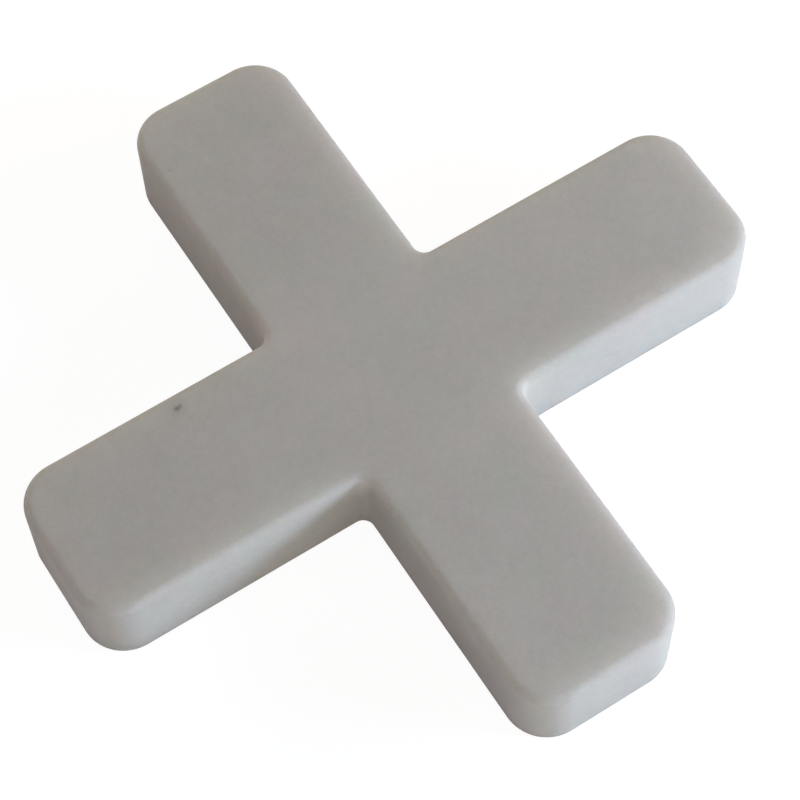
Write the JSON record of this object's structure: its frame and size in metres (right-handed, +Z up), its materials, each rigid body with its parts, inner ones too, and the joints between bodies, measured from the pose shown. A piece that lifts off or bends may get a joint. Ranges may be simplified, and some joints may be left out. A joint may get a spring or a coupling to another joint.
{
  "type": "tile spacer",
  "caption": "Solid plastic cross that holds an even joint between the corners of floor or wall tiles, with rounded arm tips and softly rounded edges.",
  "frame": {"origin": "centre of the underside, on the surface that the spacer lies on", "axes": "+Z up through the thickness, +X and +Y along two neighbouring arms"},
  "size_m": [0.0432, 0.0432, 0.0054],
  "materials": {
    "moulded_plastic": "satin off-white plastic, slightly translucent"
  },
  "bodies": {
    "root": {"tile_spacer": "moulded_plastic"}
  },
  "joints": []
}
